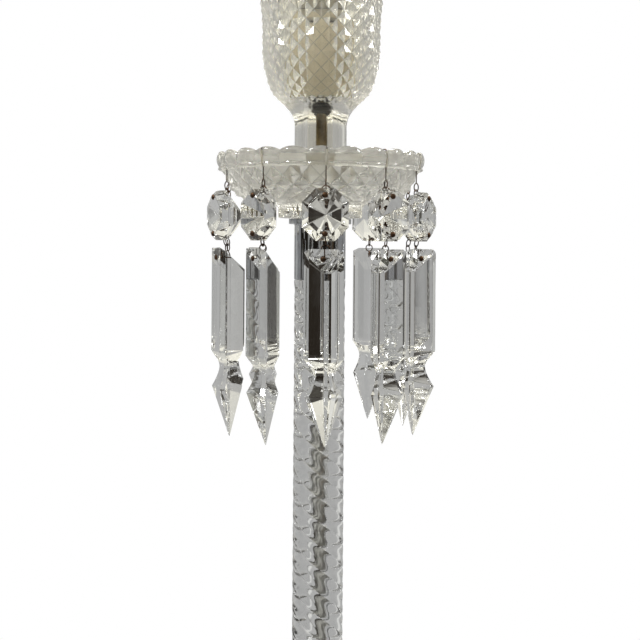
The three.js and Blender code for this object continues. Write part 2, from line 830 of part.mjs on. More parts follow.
// Pendant pin: a head on the crystal's face, a shank through it and a ring in the bead's eye.
// The crystal's turn is bent into the pin, and its ring stays square to the strand.
function makePendantPin(turn) {
  const exit = pendantFace + (pendantDepth * pendantHoleDepth) / pendantSlope;
  const back = exit + pendantHoleRadius;
  const headBack = pendantFace - seatGap;
  const head = rodAlongY(pinHeadRadius, headBack - pinHeadThickness, headBack, pinHeadSides);
  head.translate(0, 0, pendantHoleHeight);
  const ringLow = -ringHeight;
  const shank = wire([
    at(headBack - wireRadius, pendantHoleHeight), at(back, pendantHoleHeight), at(0, ringLow),
  ]);
  const body = join(head, shank);
  body.rotateZ(turn);
  return join(body, loop(at(0, ringLow), at(0, 0), ringWidth, acrossX));
}

function addStrands() {
  const hookGeometry = makeHook();
  const beadGeometry = makeBead();
  const pendantGeometry = makePendant();
  strandAngles().forEach((angle, i) => {
    const number = i + 1;
    const strand = new THREE.Group();
    strand.rotation.z = angle;
    lamp.add(strand);
    const beadTurn = beadTurns[i % beadTurns.length] * degree;
    const pendantTurn = pendantTurns[i % pendantTurns.length] * degree;
    const hook = addMesh(`rim_hook_${number}`, hookGeometry, wireMaterial, strand);
    hook.position.set(0, -strandCircleRadius, upperLinkHeight);
    const bead = addMesh(`bead_${number}`, beadGeometry, crystalMaterial, strand);
    bead.position.set(0, -strandCircleRadius, upperLinkHeight);
    bead.rotation.z = beadTurn;
    const pin = addMesh(`pendant_pin_${number}`, makePendantPin(pendantTurn), wireMaterial, strand);
    pin.position.set(0, -strandCircleRadius, lowerLinkHeight);
    const pendant = addMesh(`pendant_${number}`, pendantGeometry, crystalMaterial, strand);
    pendant.position.set(0, -strandCircleRadius, lowerLinkHeight);
    pendant.rotation.z = pendantTurn;
  });
}

function addStem() {
  const padRadius = footRadius - footEdgeRound - padEdgeInset;
  addMesh('felt_pad', rodAlongZ(padRadius, 0, padThickness, padSides), feltMaterial);
  addMesh('foot', makeFoot(), crystalMaterial);
  addMesh('cord_bushing', makeBushing(), nickelMaterial);
  const washerBottom = footRecessTop - seatGap - baseWasherThickness;
  const washer = ring(clearBoreRadius, baseWasherRadius, washerBottom, baseWasherThickness, narrowRingSides);
  addMesh('base_washer', washer, nickelMaterial);
  const nutBottom = washerBottom - seatGap - baseNutHeight;
  addMesh('base_nut', makeHexNut(baseNutRadius, nutBottom, baseNutHeight), nickelMaterial);
  const gasket = ring(
    clearBoreRadius, footGasketRadius, footGasketBottom, footGasketThickness, wideRingSides,
  );
  addMesh('foot_gasket', gasket, gasketMaterial);
  const collar = revolve(ferruleOutline(lowerCollarHeight), ferruleSides);
  collar.rotateX(Math.PI);
  collar.translate(0, 0, lowerCollarBottom + lowerCollarHeight);
  addMesh('lower_collar', collar, nickelMaterial);
  addMesh('column', makeColumn(), crystalMaterial);
  const ferrule = revolve(ferruleOutline(upperFerruleHeight), ferruleSides);
  ferrule.translate(0, 0, upperFerruleBottom);
  addMesh('upper_ferrule', ferrule, nickelMaterial);
  const tubeLength = tubeTop - tubeFootInset;
  const tube = ring(tubeBoreRadius, tubeRadius, tubeFootInset, tubeLength, narrowRingSides);
  addMesh('threaded_tube', tube, bronzeMaterial);
}

function addHead() {
  addMesh('drip_pan', makePan(), crystalMaterial);
  const gasketOuterRadius = shadeHeelRadius - seatGap;
  const gasket = ring(gasketInnerRadius, gasketOuterRadius, gasketBottom, gasketThickness, wideRingSides);
  addMesh('shade_gasket', gasket, gasketMaterial);
  addMesh('shade', makeShade(), crystalMaterial);
  addMesh('neck_nut', makeNeckNut(), darkMaterial);
  const disc = ring(clearBoreRadius, clampDiscRadius, clampDiscBottom, clampDiscThickness, wideRingSides);
  addMesh('clamp_disc', disc, nickelMaterial);
  addMesh('lamp_holder', makeHolder(), holderMaterial);
  addMesh('candle_sleeve', makeSleeve(), sleeveMaterial);
  addMesh('bulb_cap', makeBulbCap(), nickelMaterial);
  addMesh('bulb', makeBulb(), bulbMaterial);
}

addStem();
addHead();
addStrands();

export default lamp;
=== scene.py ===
import json
import math
import bpy
import numpy as np
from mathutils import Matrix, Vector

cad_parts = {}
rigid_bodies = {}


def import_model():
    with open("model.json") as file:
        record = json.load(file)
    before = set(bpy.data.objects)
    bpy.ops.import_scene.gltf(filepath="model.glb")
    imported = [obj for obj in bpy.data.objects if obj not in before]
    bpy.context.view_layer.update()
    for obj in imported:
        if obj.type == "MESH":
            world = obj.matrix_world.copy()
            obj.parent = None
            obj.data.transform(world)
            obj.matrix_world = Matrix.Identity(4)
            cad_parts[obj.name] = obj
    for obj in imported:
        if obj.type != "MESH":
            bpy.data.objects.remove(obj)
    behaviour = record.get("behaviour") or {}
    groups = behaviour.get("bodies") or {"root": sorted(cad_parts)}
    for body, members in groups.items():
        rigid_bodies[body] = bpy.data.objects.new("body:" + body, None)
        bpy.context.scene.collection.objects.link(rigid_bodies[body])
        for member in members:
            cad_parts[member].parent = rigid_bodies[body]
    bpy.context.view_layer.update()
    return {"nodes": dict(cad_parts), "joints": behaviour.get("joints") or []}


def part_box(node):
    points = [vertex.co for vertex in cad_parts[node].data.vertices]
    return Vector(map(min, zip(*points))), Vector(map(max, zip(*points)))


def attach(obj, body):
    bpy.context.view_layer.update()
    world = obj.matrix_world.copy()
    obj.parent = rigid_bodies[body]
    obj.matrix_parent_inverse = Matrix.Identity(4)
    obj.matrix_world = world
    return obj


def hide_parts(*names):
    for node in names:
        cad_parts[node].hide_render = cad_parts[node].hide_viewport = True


# Crystal torch table lamp, in metres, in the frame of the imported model.
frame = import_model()
nodes = frame["nodes"]
joints = {joint["name"]: joint for joint in frame["joints"]}
mm = 0.001
print("frame loaded:", len(nodes), "nodes")


def newObject(name, data):
    made = bpy.data.objects.new(name, data)
    bpy.context.scene.collection.objects.link(made)
    return made


# Camera: level, at the photograph's distance, with the horizon in the upper part of the frame
camera = {"distance": 0.885, "height": 0.416, "focalPixels": 1106, "framePixels": 640,
          "horizonRow": 240, "roll": -0.4, "sensor": 36}


def makeCamera():
    lens = bpy.data.cameras.new("camera")
    lens.sensor_width = camera["sensor"]
    lens.lens = camera["sensor"] * camera["focalPixels"] / camera["framePixels"]
    lens.shift_y = (camera["horizonRow"] - camera["framePixels"] / 2) / camera["framePixels"]
    lens.clip_start = 0.01
    viewer = newObject("camera", lens)
    viewer.location = (0, -camera["distance"], camera["height"])
    viewer.rotation_euler = (math.pi / 2, math.radians(camera["roll"]), 0)
    bpy.context.scene.camera = viewer


makeCamera()
print("camera placed")


# Shader maths: a Value is one output of a node, and sums and products of Values add Math nodes
class Value:
    def __init__(self, shader, node, socket):
        self.shader, self.node, self.socket = shader, node, socket

    def __getitem__(self, name):
        return Value(self.shader, self.node, self.node.outputs[name])

    def math(self, operation, *others):
        return self.shader.add("ShaderNodeMath", {"operation": operation}, dict(enumerate((self,) + others)))

    def __add__(self, other):
        return self.math("ADD", other)

    def __sub__(self, other):
        return self.math("SUBTRACT", other)

    def __rsub__(self, other):
        return self.shader.add("ShaderNodeMath", {"operation": "SUBTRACT"}, {0: other, 1: self})

    def __mul__(self, other):
        return self.math("MULTIPLY", other)

    __radd__ = __add__
    __rmul__ = __mul__

    def within(self, low, high):
        # 0 at low, 1 at high, smooth between, whichever is the larger
        return self.shader.add("ShaderNodeMapRange", {"interpolation_type": "SMOOTHSTEP"},
                               {"Value": self, "From Min": low, "From Max": high})


class Shader:
    def __init__(self, owner):
        owner.use_nodes = True
        self.tree = owner.node_tree
        self.tree.nodes.clear()

    def add(self, kind, settings=None, inputs=None, output=0):
        node = self.tree.nodes.new(kind)
        for name, setting in (settings or {}).items():
            setattr(node, name, setting)
        for name, given in (inputs or {}).items():
            if isinstance(given, Value):
                self.tree.links.new(given.socket, node.inputs[name])
            else:
                node.inputs[name].default_value = given
        return Value(self, node, node.outputs[output] if node.outputs else None)

    def axes(self, vector):
        parts = self.add("ShaderNodeSeparateXYZ", None, {"Vector": vector})
        return parts["X"], parts["Y"], parts["Z"]

    def noise(self, vector, scale, detail=3.0, stretch=None):
        if stretch:
            vector = self.add("ShaderNodeMapping", None, {"Vector": vector, "Scale": stretch})
        return self.add("ShaderNodeTexNoise", None, {"Vector": vector, "Scale": scale, "Detail": detail})

    def blend(self, share, first, second):
        return self.add("ShaderNodeMix", {"data_type": "RGBA"}, {0: share, 6: first, 7: second}, 2)

    def mix(self, share, first, second):
        return self.add("ShaderNodeMixShader", None, {0: share, 1: first, 2: second})

    def bump(self, height, strength, distance):
        inputs = {"Height": height, "Strength": strength, "Distance": distance}
        return self.add("ShaderNodeBump", None, inputs)

    def principled(self, inputs):
        return self.add("ShaderNodeBsdfPrincipled", None, inputs)

    def finish(self, surface, kind="ShaderNodeOutputMaterial"):
        self.add(kind, None, {"Surface": surface})


def colour(red, green, blue):
    return (red, green, blue, 1.0)


def newMaterial(name):
    material = bpy.data.materials.new(name)
    shader = Shader(material)
    return material, shader, shader.add("ShaderNodeTexCoord")["Object"]


# Clear crystal: faint cloudiness in its tint, a smear of dust in its polish, and a slow waviness. A thin
# grey line of painted shade runs along the bottom of each cut groove. Moulded surfaces are less polished
# than cut ones, and drilled ones are frosted.
def crystal(name, look):
    material, shader, place = newMaterial(name)
    cloud = shader.noise(place, look["cloudScale"]).within(*look["cloud"])
    smear = shader.noise(place, look["smearScale"], 5.0).within(*look["dust"])
    wave = shader.noise(place, look["waveScale"], 2.0)
    line = shader.add("ShaderNodeAttribute", {"attribute_name": "groove"})["Fac"].within(*look["line"])
    ground = shader.add("ShaderNodeAttribute", {"attribute_name": "ground"})["Fac"]
    tint = shader.blend(cloud, look["tint"], look["deepTint"])
    glass = shader.principled({
        # painted shade: the base colour turns grey along the grooves
        "Base Color": shader.blend(line * look["grooveShadeShare"], tint, look["grooveShadeTint"]),
        "Roughness": smear * look["smear"] + line * look["lineRough"] + ground * look["groundRough"],
        "IOR": look["ior"],
        "Transmission Weight": 1.0,
        "Normal": shader.bump(wave, look["waveStrength"], look["waveDepth"]),
    })
    frost = shader.principled({
        "Base Color": shader.blend(cloud, look["frost"], look["tint"]), "Roughness": look["frostRough"]})
    shader.finish(shader.mix(ground.within(*look["drilled"]), glass, frost))
    return material


# Plated or plain metal: drawn streaks along Z in the polish, and a browned or dulled cloud in the colour
def metal(name, look):
    material, shader, place = newMaterial(name)
    cloud = shader.noise(place, look["cloudScale"], 4.0).within(0.4, 0.7)
    streak = shader.noise(place, look["streakScale"], 3.0, (1, 1, look.get("streakStretch", 1)))
    height = streak
    tint = shader.blend(cloud, look["colour"], look["dulled"])
    roughness = look["roughness"] + cloud * look["spread"] + streak * look["spread"]
    if "pitch" in look:
        level = shader.axes(place)[2]
        bare = level.within(*look["bare"])
        threads = (level * (2 * math.pi / look["pitch"])).math("SINE")
        height = (streak * look["streakShare"] + threads) * bare
        tint = shader.blend(bare, look["plated"], tint)
        roughness = roughness * bare + (1 - bare) * look["platedRoughness"]
    shader.finish(shader.principled({
        "Base Color": tint,
        "Metallic": look["metallic"],
        "Roughness": roughness,
        "Normal": shader.bump(height, look["bump"], look["bumpDepth"]),
    }))
    return material


# Matt piece: two mottled colours, a fine grain and an even roughness
def matt(name, look):
    material, shader, place = newMaterial(name)
    cloud = shader.noise(place, look["cloudScale"], 4.0).within(0.35, 0.65)
    grain = shader.noise(place, look["grainScale"], 6.0)
    shader.finish(shader.principled({
        "Base Color": shader.blend(cloud, look["colour"], look["second"]),
        "Roughness": look["roughness"] + grain * look["spread"],
        "Coat Weight": look.get("coat", 0.0),
        "Transmission Weight": look.get("clear", 0.0),
        "Normal": shader.bump(grain, look["bump"], look["bumpDepth"]),
    }))
    return material


# What both crystals share: ranges of the noise, the painted groove shade and the ground marks, and roughness
cutCrystal = {"ior": 1.56, "cloud": (0.35, 0.65), "dust": (0.45, 0.8), "line": (0.86, 0.97), "lineRough": 0.1,
              "drilled": (3.4, 3.8), "frostRough": 0.8}
warmCrystal = crystal("warmCrystal", cutCrystal | {
    "tint": colour(0.995, 0.985, 0.935), "deepTint": colour(0.985, 0.97, 0.905), "smear": 0.02,
    # painted shade along the grooves: how much of it and its grey
    "grooveShadeShare": 0.7, "grooveShadeTint": colour(0.45, 0.46, 0.44),
    "groundRough": 0.14, "frost": colour(0.8, 0.76, 0.66),
    "cloudScale": 30, "smearScale": 60, "waveScale": 45, "waveStrength": 0.02, "waveDepth": 0.0008})
clearCrystal = crystal("clearCrystal", cutCrystal | {
    "tint": colour(0.985, 0.987, 0.985), "deepTint": colour(0.965, 0.972, 0.972), "smear": 0.01,
    # painted shade along the grooves: how much of it and its grey
    "grooveShadeShare": 0.5, "grooveShadeTint": colour(0.5, 0.51, 0.5),
    "groundRough": 0.3, "frost": colour(0.78, 0.78, 0.76),
    "cloudScale": 26, "smearScale": 70, "waveScale": 40, "waveStrength": 0.03, "waveDepth": 0.0005})
nickel = metal("nickel", {
    "colour": colour(0.46, 0.47, 0.49), "dulled": colour(0.38, 0.39, 0.41), "metallic": 1.0,
    "roughness": 0.02, "spread": 0.03, "cloudScale": 60, "streakScale": 240, "streakStretch": 0.03,
    "bump": 0.05, "bumpDepth": 0.0002})
brownWire = metal("brownWire", {
    "colour": colour(0.115, 0.062, 0.035), "dulled": colour(0.03, 0.02, 0.014), "metallic": 0.9,
    "roughness": 0.28, "spread": 0.2, "cloudScale": 300, "streakScale": 500,
    "bump": 0.2, "bumpDepth": 0.0001})
bronzeTube = metal("bronzeTube", {
    "colour": colour(0.46, 0.37, 0.21), "dulled": colour(0.3, 0.24, 0.135), "metallic": 0.6,
    "roughness": 0.45, "spread": 0.15, "cloudScale": 120, "streakScale": 200,
    "bump": 0.6, "bumpDepth": 0.0003, "pitch": 0.001, "streakShare": 0.15,
    "bare": (0.43, 0.436), "plated": colour(0.8, 0.8, 0.78), "platedRoughness": 0.06})
darkMetal = metal("darkMetal", {
    "colour": colour(0.03, 0.022, 0.016), "dulled": colour(0.012, 0.01, 0.008), "metallic": 0.7,
    "roughness": 0.4, "spread": 0.2, "cloudScale": 200, "streakScale": 300,
    "bump": 0.1, "bumpDepth": 0.0002})
sleeveFinish = matt("sleeveFinish", {
    "colour": colour(0.98, 0.89, 0.7), "second": colour(0.87, 0.79, 0.61), "roughness": 0.5, "spread": 0.2,
    "cloudScale": 40, "grainScale": 400, "bump": 0.15, "bumpDepth": 0.0002})
phenolic = matt("phenolic", {
    "colour": colour(0.02, 0.019, 0.018), "second": colour(0.012, 0.011, 0.01),
    "roughness": 0.4, "spread": 0.2, "cloudScale": 80, "grainScale": 600, "bump": 0.1, "bumpDepth": 0.0001})
frosted = matt("frosted", {
    "colour": colour(0.86, 0.82, 0.72), "second": colour(0.8, 0.76, 0.66), "roughness": 0.35, "spread": 0.15,
    "cloudScale": 60, "grainScale": 900, "bump": 0.1, "bumpDepth": 0.0001, "coat": 0.3})
gasketFinish = matt("gasketFinish", {
    "colour": colour(0.75, 0.75, 0.72), "second": colour(0.66, 0.66, 0.63), "roughness": 0.45, "spread": 0.1,
    "cloudScale": 60, "grainScale": 500, "bump": 0.05, "bumpDepth": 0.0001, "clear": 0.5})
feltFinish = matt("feltFinish", {
    "colour": colour(0.03, 0.045, 0.035), "second": colour(0.02, 0.03, 0.024),
    "roughness": 0.9, "spread": 0.1, "cloudScale": 200, "grainScale": 2500, "bump": 0.6, "bumpDepth": 0.0004})
print("materials made")


# Corners of the squares between each row and the next, the last column joining the first
def squares(grid):
    low, high = grid[:-1], grid[1:]
    return low, np.roll(low, -1, 1), np.roll(high, -1, 1), high


# A Shell gathers rings and patches of points, worked out as whole arrays, into one closed surface
class Shell:
    def __init__(self):
        self.points, self.groove, self.ground = [], [], []
        self.faces, self.smooth, self.count = [], [], 0

    def rows(self, points, groove=0.0, ground=0.0):
        # points is rows x columns x 3, groove marks them for the material's painted grey shade and roughness
        # along grooves, ground for its roughness and frost, and the result is their numbers
        points = np.asarray(points, float)
        shape = points.shape[:2]
        self.points.append(points.reshape(-1, 3))
        self.groove.append(np.broadcast_to(groove, shape).ravel())
        self.ground.append(np.broadcast_to(ground, shape).ravel())
        numbers = self.count + np.arange(shape[0] * shape[1]).reshape(shape)
        self.count += shape[0] * shape[1]
        return numbers

    def move(self, change):
        self.points = [change(np.concatenate(self.points))]

    def addFaces(self, faces, smooth):
        self.faces.extend(faces.tolist())
        self.smooth.extend([smooth] * len(faces))

    def quads(self, grid, smooth=True):
        self.addFaces(np.stack(squares(grid), -1).reshape(-1, 4), smooth)

    def stitch(self, low, high, smooth=False):
        # joins a ring to the ring above it, whose count is a whole multiple or a whole part of its own
        if len(high) >= len(low):
            fine, coarse, flip = high, low, False
        else:
            fine, coarse, flip = low, high, True
        share = len(fine) // len(coarse)
        step = np.arange(len(fine))
        half = 0.5 if share > 1 else 0
        near = np.floor((step + half) / share + 0.5).astype(int) % len(coarse)
        fans = np.stack([coarse[near], np.roll(fine, -1), fine], -1)
        first = np.arange(len(coarse))
        middle = (share * first + (share + 1) // 2) % len(fine)
        links = np.stack([coarse, np.roll(coarse, -1), fine[middle]], -1)
        both = np.concatenate([fans, links])
        self.addFaces(both[:, ::-1] if flip else both, smooth)

    def loop(self, points):
        # rows that run back to the first one
        grid = self.rows(points)
        self.quads(np.concatenate([grid, grid[:1]]))

    def tip(self, ring, point, smooth=False, above=True):
        # closes a ring with triangles to one point above or below it
        number = self.rows([[point]])[0, 0]
        faces = np.stack([ring, np.roll(ring, -1), np.full(len(ring), number)], -1)
        self.addFaces(faces if above else faces[:, ::-1], smooth)

    def capped(self, points, first, last, ground=0.0):
        # rows with a tip at each end
        grid = self.rows(points, 0, ground)
        self.quads(grid)
        self.tip(grid[0], first, above=False)
        self.tip(grid[-1], last)

    def mesh(self, name, sharpAngle):
        mesh = bpy.data.meshes.new(name)
        mesh.from_pydata(np.concatenate(self.points).tolist(), [], self.faces)
        mesh.polygons.foreach_set("use_smooth", np.array(self.smooth, bool))
        for mark in ("groove", "ground"):
            values = np.concatenate(getattr(self, mark)).astype(np.float32)
            if values.any():
                mesh.attributes.new(mark, "FLOAT", "POINT").data.foreach_set("value", values)
        if sharpAngle is not None:
            mesh.set_sharp_from_angle(angle=math.radians(sharpAngle))
        mesh.update()
        return mesh


# A node's lowest and highest Z and its half width in mm
def spanOf(node):
    low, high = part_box(node)
    return low[2] / mm, high[2] / mm, high[0] / mm


def addPiece(name, shell, sharpAngle, material, slot, body="lamp", replaced=()):
    piece = newObject(name, shell.mesh(name, sharpAngle))
    piece.data.materials.append(material)
    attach(piece, body)
    if replaced:
        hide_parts(*replaced)
    return piece


def circle(columns):
    return np.arange(columns) * 2 * np.pi / columns


# Place within each of the equal parts of a circle, from -1 to 1
def partShare(angle, parts, shift=0.5):
    return (angle * parts / (2 * np.pi) + shift) % 1 * 2 - 1


def ramp(values, low, high):
    return np.clip((values - low) / (high - low), 0, 1)


def eased(share):
    return share * share * (3 - 2 * share)


# Point at each angle of a ring: (radius cos angle, radius sin angle, height) in mm, turned into metres.
# Radius and height are per angle or even.
def ringPoints(radius, height, angle):
    return mm * np.stack([radius * np.cos(angle), radius * np.sin(angle), height + 0 * angle], -1)


def unit(vectors):
    return vectors / np.linalg.norm(vectors, axis=-1, keepdims=True)


cornerLimit = 0.45


# Each corner becomes a quadratic curve that takes at most a share of its shorter side. An open path keeps
# its ends.
def rounded(path, rounding, steps, closed):
    points = np.asarray(path, float)
    toBefore, toAfter = np.roll(points, 1, 0) - points, np.roll(points, -1, 0) - points
    shorter = np.minimum(*(np.linalg.norm(way, axis=1, keepdims=True) for way in (toBefore, toAfter)))
    cut = np.minimum(rounding, cornerLimit * shorter)
    if not closed:
        cut[0] = cut[-1] = 0
    corner = points[:, None]
    start, end = corner + (unit(toBefore) * cut)[:, None], corner + (unit(toAfter) * cut)[:, None]
    t = np.linspace(0, 1, steps + 1)[None, :, None]
    curve = (1 - t) ** 2 * start + 2 * t * (1 - t) * corner + t ** 2 * end
    return curve.reshape(-1, points.shape[1])


# Turned piece in the place of its node: an outline of (radius, height) in mm, from the axis to the axis or,
# if it is closed, back to its start, rounded at the corners and carried round Z
def turned(node, outline, material, slot, columns=96, rounding=0.4, steps=3, closed=True):
    profile = rounded(outline, rounding, steps, closed)
    if closed:
        profile = np.concatenate([profile, profile[:1]])
    apart = np.linalg.norm(np.diff(profile, axis=0), axis=1) > 1e-6
    profile = profile[np.append(True, apart)]
    inner = profile[:-1] if closed else profile[1:-1]
    shell = Shell()
    points = ringPoints(inner[:, :1], inner[:, 1:], circle(columns))
    if closed:
        shell.loop(points)
    else:
        shell.capped(points, (0, 0, profile[0, 1] * mm), (0, 0, profile[-1, 1] * mm))
    first, *others = node.split("_")
    name = first + "".join(word.capitalize() for word in others)
    addPiece(name, shell, 40, material, slot, replaced=[node])


# Smooth curve through points: each span is the cubic whose end slopes are those of the neighbouring points
def throughPoints(points, count):
    points = np.asarray(points, float)
    along = np.append(0, np.cumsum(np.linalg.norm(np.diff(points, axis=0), axis=1)))
    slope = np.gradient(points, along, axis=0)
    place = np.linspace(0, along[-1], count)
    span = np.clip(np.searchsorted(along, place, "right") - 1, 0, len(along) - 2)
    width = (along[span + 1] - along[span])[:, None]
    t = (place - along[span])[:, None] / width
    return ((2 * t ** 3 - 3 * t ** 2 + 1) * points[span] + (t ** 3 - 2 * t ** 2 + t) * width * slope[span]
            + (3 * t ** 2 - 2 * t ** 3) * points[span + 1] + (t ** 3 - t ** 2) * width * slope[span + 1])


# Rows for diamond cutting along an outline: equal steps of length / (half the diamond's height), which goes
# with the radius, so that the diamonds stay as tall as they are wide
def diamondRows(outline, diamonds, tallness):
    dense = throughPoints(outline, 600)
    length = np.linalg.norm(np.diff(dense, axis=0), axis=1)
    middle = (dense[1:, 0] + dense[:-1, 0]) / 2
    steps = np.append(0, np.cumsum(length / (np.pi * middle / diamonds * tallness)))
    place = np.linspace(0, steps[-1], int(round(steps[-1])) + 1)
    rows = np.stack([np.interp(place, steps, dense[:, 0]), np.interp(place, steps, dense[:, 1])], -1)
    slope = unit(np.gradient(rows, axis=0))
    outward = np.stack([slope[:, 1], -slope[:, 0]], -1)
    return rows, outward


# Diamond cutting: rows x columns of points where every other one, chequered, is a crossing of two grooves
# and lies deeper by a share of the diamond's width. Each square of four is split along the groove.
def diamondCut(shell, rows, outward, diamonds, depthShare):
    crossing = (np.arange(len(rows))[:, None] + np.arange(2 * diamonds)) % 2 == 0
    depth = depthShare * 2 * np.pi * rows[:, :1] / diamonds * crossing
    radius = rows[:, :1] - outward[:, :1] * depth
    height = rows[:, 1:] - outward[:, 1:] * depth
    # the crossings carry the groove mark, which the material paints grey as shade
    grid = shell.rows(ringPoints(radius, height, circle(2 * diamonds)), crossing)
    low, nextLow, nextHigh, high = squares(grid)
    rising = crossing[:-1, :, None]
    first = np.where(rising, np.stack([low, nextLow, nextHigh], -1), np.stack([low, nextLow, high], -1))
    second = np.where(rising, np.stack([low, nextHigh, high], -1), np.stack([nextLow, nextHigh, high], -1))
    shell.addFaces(first.reshape(-1, 3), False)
    shell.addFaces(second.reshape(-1, 3), False)
    return grid


# Hurricane shade, heights in mm above its own heel. The mouth's edge is given as inwards and down from its
# radius and top, and the floor's corner as inwards from the wall and up from the floor.
shade = {
    "diamonds": 24, "tallness": 1.04, "depthShare": 0.13, "panels": 12, "panelTurn": 11.4,
    "bore": 9.8, "boreEdge": 0.3, "heel": [(23, 0), (24, 1), (24, 2.5)], "neckFrom": 12, "neckRadius": 21.3,
    "flare": [(21.3, 48), (21.3, 54), (22.9, 60.2), (25.6, 65), (28.5, 68.6)], "flareRows": 12,
    "bowl": [(28.5, 68.6), (30.2, 70.1), (34.4, 74), (38.4, 77.9), (41, 82.1), (43.6, 89.9),
             (45.9, 98.2), (47.2, 106), (47.6, 118), (47.6, 130), (49.6, 154), (55, 190), (61.8, 222)],
    "mouthRadius": 64, "mouthHeight": 236, "scallops": 12, "scallopDepth": 4, "scallopFrom": (14, 2),
    "cutEnd": (0.4, 2), "mouthEdge": [(0.5, 3), (0.1, 1.6), (0.8, 0.3), (2.75, 0), (4.8, 0.3), (5.5, 1.6)],
    "wall": 5.5, "wallTop": 6, "wallRows": 40,
    "floor": 73, "floorCorner": [(1.5, 0.8), (3, 0)], "cornerHeight": 3,
}


def makeShade():
    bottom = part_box("shade")[0][2] / mm
    top, floor, mouth = bottom + shade["mouthHeight"], bottom + shade["floor"], shade["mouthRadius"]
    shell = Shell()
    coarse, fine = circle(2 * shade["diamonds"]), circle(4 * shade["diamonds"])

    # Neck: flat panels, whose radius in the middle is cos(half panel) of the corners', and which run out up
    # the flare
    half = np.pi / shade["panels"]
    flat = np.cos(half) / np.cos((coarse - math.radians(shade["panelTurn"])) % (2 * half) - half)
    heel = [(shade["bore"], 0), *shade["heel"], (shade["neckRadius"] * flat, shade["neckFrom"])]
    neck = shell.rows([ringPoints(radius, bottom + up, coarse) for radius, up in heel])
    shell.quads(neck, False)
    flare = throughPoints(shade["flare"], shade["flareRows"])
    fade = ramp(flare[:, :1], shade["neckRadius"], flare[-1, 0]) ** 2
    flared = flare[:, :1] * (flat + (1 - flat) * fade)
    flareRows = shell.rows(ringPoints(flared, bottom + flare[:, 1:], coarse))
    shell.quads(np.concatenate([neck[-1:], flareRows]))

    outer = np.array(shade["bowl"], float) + [0, bottom]
    rows, outward = diamondRows(outer, shade["diamonds"], shade["tallness"])
    cutRows = diamondCut(shell, rows, outward, shade["diamonds"], shade["depthShare"])
    shell.stitch(flareRows[-1], cutRows[0])

    # Mouth and inner wall: over each scallop t goes from -1 to 1, and the edge falls by t squared
    t = partShare(fine, shade["scallops"])
    edge = np.concatenate([[rows[-1] + shade["cutEnd"]], [mouth, top] - np.array(shade["mouthEdge"])])
    dense = throughPoints(outer, 200)
    height = np.linspace(top - shade["wallTop"], floor + shade["cornerHeight"], shade["wallRows"])
    radius = np.interp(height, np.append(dense[:, 1], top), np.append(dense[:, 0], mouth)) - shade["wall"]
    corner = [(radius[-1] - inwards, floor + up) for inwards, up in shade["floorCorner"]]
    bore = [(shade["bore"] + shade["boreEdge"], floor), (shade["bore"], floor - shade["boreEdge"])]
    band = np.concatenate([edge, [*zip(radius, height)], corner, bore])
    low, high = shade["scallopFrom"]
    weight = ramp(band[:, 1:], top - low, top - high) ** 2
    inside = (np.arange(len(band)) >= len(edge))[:, None]
    height = band[:, 1:] - shade["scallopDepth"] * weight * t ** 2
    wall = shell.rows(ringPoints(band[:, :1], height, fine), 0, inside)
    shell.quads(wall)
    shell.stitch(cutRows[-1], wall[0])
    shell.stitch(wall[-1], neck[0], True)
    addPiece("hurricaneShade", shell, 24, warmCrystal, "crystal", replaced=["shade"])


makeShade()
print("shade made")


# Drip pan, radii in mm from the axis and heights in mm above its own underside. The collar's foot is given
# as outwards from the collar and up, and the tooth on each flute as outwards and up from the collar's top.
pan = {
    "diamonds": 32, "tallness": 1.0, "depthShare": 0.17, "bore": 5.3,
    "collarRadius": 33.5, "collarHeight": 10.0, "flutes": 48, "fluteDepth": 1.1,
    "collarFoot": [(-1.2, 0), (-0.2, 0.4), (0, 1.2), (0, 7.6)], "tooth": (1.98, 0.66), "aboveTooth": 0.9,
    "underside": [(36.6, 11.2), (44, 11.5), (52, 12.3), (60, 14.1), (66.5, 16.9), (71, 20.8), (74, 26),
                  (76.6, 32), (78.6, 36.6)],
    "scallops": 24, "scallopDepth": 2.3, "rimDrop": 2.4, "lobeRadii": (71, 80), "lobeHeights": (36, 49),
    "rim": [(79.8, 37.2), (81.2, 37.6), (82, 38.5), (81.8, 39.5), (81.4, 40.2), (82.2, 42), (83, 45),
            (82.9, 48.4), (82, 50.6), (80.4, 51.5), (78.8, 50.7), (77, 49.9), (74.6, 49.2), (72.6, 48)],
    "dish": [(72.6, 48), (70.2, 45.2), (66.4, 39.4), (60.5, 30.5), (52.5, 23), (41, 19.4), (28, 18.6)],
    "rimRows": 34, "dishRows": 26, "seat": (27, 18.6), "insideRough": 3, "roughOverlap": 12,
    # painted shade in the notch between two scallops, where the lobe's share and t are past these
    "notchFrom": (0.6, 0.99),
    # drilled holes for the hooks, kept a little short of both surfaces
    "hole": (37, 48.6), "holeRadius": 1.0, "holeSides": 12, "holeRough": 4,
}


